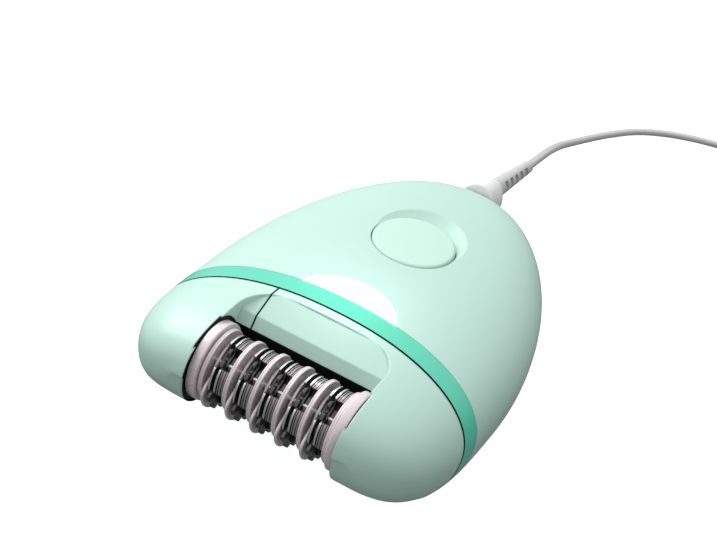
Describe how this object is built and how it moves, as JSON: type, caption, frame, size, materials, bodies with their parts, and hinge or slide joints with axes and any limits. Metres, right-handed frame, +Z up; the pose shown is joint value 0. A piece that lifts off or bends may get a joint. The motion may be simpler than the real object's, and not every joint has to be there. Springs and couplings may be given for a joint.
{
  "type": "corded epilator",
  "caption": "Corded hair-removal epilator: pebble-shaped handle with light and power button, clip-on head with a spinning tweezer-disc drum, and plug-in power lead.",
  "frame": {"origin": "centre of the handle and head's footprint, on the surface that the epilator lies on", "axes": "+Z up from the surface; -Y towards the tweezer drum; +Y towards the lead; +X to the right when seen from the drum's end"},
  "size_m": [0.1302, 0.2358, 0.0309],
  "materials": {
    "shell_mint": "satin moulded pale mint",
    "head_mint": "glossy moulded pale mint",
    "band_green": "glossy moulded green",
    "lens_clear": "milky translucent light cover",
    "button_mint": "satin moulded pale mint",
    "latch_mint": "matte moulded",
    "screw_steel": "zinc plated",
    "spring_steel": "drawn wire",
    "board_green": "solder mask",
    "part_black": "moulded packages",
    "led_white": "cast resin",
    "contact_metal": "plated",
    "motor_steel": "drawn can",
    "bracket_steel": "pressed sheet",
    "magnet_black": "sintered ferrite",
    "armature_copper": "enamelled winding",
    "gear_white": "moulded acetal",
    "frame_grey": "glass filled nylon",
    "shaft_steel": "ground",
    "ring_pink": "satin moulded",
    "disc_steel": "polished pressed sheet",
    "plug_white": "satin moulded",
    "relief_grey": "soft moulded",
    "cord_grey": "satin insulation",
    "tie_black": "soft strap",
    "adapter_white": "fine textured",
    "pin_nickel": "nickel plated"
  },
  "bodies": {
    "handle": {"handle_top_shell": "shell_mint", "handle_bottom_shell": "shell_mint", "trim_band": "band_green", "light_lens": "lens_clear", "shell_screws": "screw_steel", "button_spring": "spring_steel", "switch_body": "part_black", "control_board": "board_green", "board_parts": "part_black", "light_board": "board_green", "light_led": "led_white", "power_socket": "part_black", "socket_pin": "contact_metal", "motor_bracket": "bracket_steel", "motor_can": "motor_steel", "motor_end_cap": "part_black", "motor_magnets": "magnet_black", "compound_axle": "shaft_steel", "appliance_plug": "plug_white", "plug_barrel": "contact_metal", "strain_relief": "relief_grey", "power_cord": "cord_grey", "adapter_cord": "cord_grey", "cord_coil": "cord_grey", "cord_tie": "tie_black", "adapter_relief": "relief_grey", "adapter_front_case": "adapter_white", "adapter_rear_case": "adapter_white", "adapter_board": "board_green", "mains_pins": "pin_nickel"},
    "head": {"head_main_cover": "head_mint", "head_side_cover": "head_mint", "head_frame": "frame_grey", "idler_axle": "shaft_steel", "drum_axle": "shaft_steel"},
    "drum": {"drum_core": "frame_grey", "drum_bushes": "gear_white", "drum_gear": "gear_white", "end_collars": "ring_pink", "guide_rings": "ring_pink", "tweezer_discs_left": "disc_steel", "tweezer_discs_right": "disc_steel", "tilted_plates": "disc_steel", "hub_spacers": "frame_grey", "grooved_segments": "ring_pink", "drum_pins": "shaft_steel"},
    "idler": {"idler_gear": "gear_white"},
    "compound": {"compound_gear": "gear_white"},
    "motor_rotor": {"motor_armature": "armature_copper", "motor_shaft": "shaft_steel", "motor_pinion": "gear_white"},
    "button": {"power_button": "button_mint"},
    "plunger": {"switch_plunger": "gear_white"},
    "release": {"release_button": "latch_mint"}
  },
  "joints": [
    {"name": "head_release_slide", "type": "slide", "parent": "handle", "child": "head", "axis": [0, -1, 0], "range_m": [0, 0.014]},
    {"name": "drum_spin", "type": "hinge", "parent": "head", "child": "drum", "pos_m": [0, -0.0376, 0.0182], "axis": [1, 0, 0], "continuous": true},
    {"name": "idler_spin", "type": "hinge", "parent": "head", "child": "idler", "pos_m": [-0.0208, -0.02445, 0.01703], "axis": [1, 0, 0], "continuous": true},
    {"name": "compound_spin", "type": "hinge", "parent": "handle", "child": "compound", "pos_m": [-0.0195, -0.0132, 0.0152], "axis": [1, 0, 0], "continuous": true},
    {"name": "motor_spin", "type": "hinge", "parent": "handle", "child": "motor_rotor", "pos_m": [0, -0.00191, 0.0136], "axis": [1, 0, 0], "continuous": true},
    {"name": "power_button_press", "type": "slide", "parent": "handle", "child": "button", "axis": [0, 0, -1], "range_m": [0, 0.0008], "stiffness_N_per_m": 800, "springref_m": -0.0006, "deforming": ["button_spring"]},
    {"name": "switch_plunger_press", "type": "slide", "parent": "handle", "child": "plunger", "axis": [0, 0, -1], "range_m": [0, 0.0008]},
    {"name": "head_release_press", "type": "slide", "parent": "handle", "child": "release", "axis": [0, 0, 1], "range_m": [0, 0.001], "stiffness_N_per_m": 800, "springref_m": -0.0006}
  ],
  "couplings": [
    {"joint": "compound_spin", "follows": "motor_spin", "ratio": -0.35714},
    {"joint": "idler_spin", "follows": "motor_spin", "ratio": 0.20833},
    {"joint": "drum_spin", "follows": "motor_spin", "ratio": -0.25},
    {"joint": "switch_plunger_press", "follows": "power_button_press", "ratio": 1}
  ]
}
